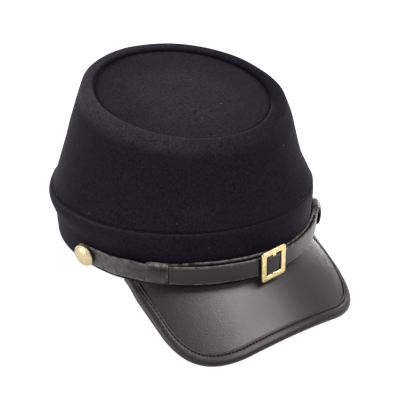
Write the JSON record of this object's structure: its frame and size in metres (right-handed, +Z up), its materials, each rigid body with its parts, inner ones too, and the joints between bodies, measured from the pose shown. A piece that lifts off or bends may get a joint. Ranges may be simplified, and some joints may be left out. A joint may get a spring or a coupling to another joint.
{
  "type": "kepi cap",
  "caption": "Kepi: a low wool cap with a round sunken top, a wool band, a bound leather peak and a buckled leather chin strap held by side buttons.",
  "frame": {"origin": "on the surface that the cap rests on, under the middle of the whole cap", "axes": "+Z up, -Y towards the front of the peak, +X towards the wearer's left"},
  "size_m": [0.1992, 0.2458, 0.1271],
  "materials": {
    "wool": "dark navy felted wool, matt, with a fine nap",
    "peak_leather": "smooth black leather with a soft polish",
    "strap_leather": "black strap leather, fine grain, satin",
    "brass": "pale brushed brass"
  },
  "bodies": {
    "root": {"band": "wool", "crown_side": "wool", "crown_top": "wool", "peak": "peak_leather", "peak_binding": "peak_leather", "strap_outer": "strap_leather", "strap_inner": "strap_leather", "keeper_right": "strap_leather", "keeper_left": "strap_leather", "buckle": "brass", "button_right": "brass", "button_left": "brass"}
  },
  "joints": []
}
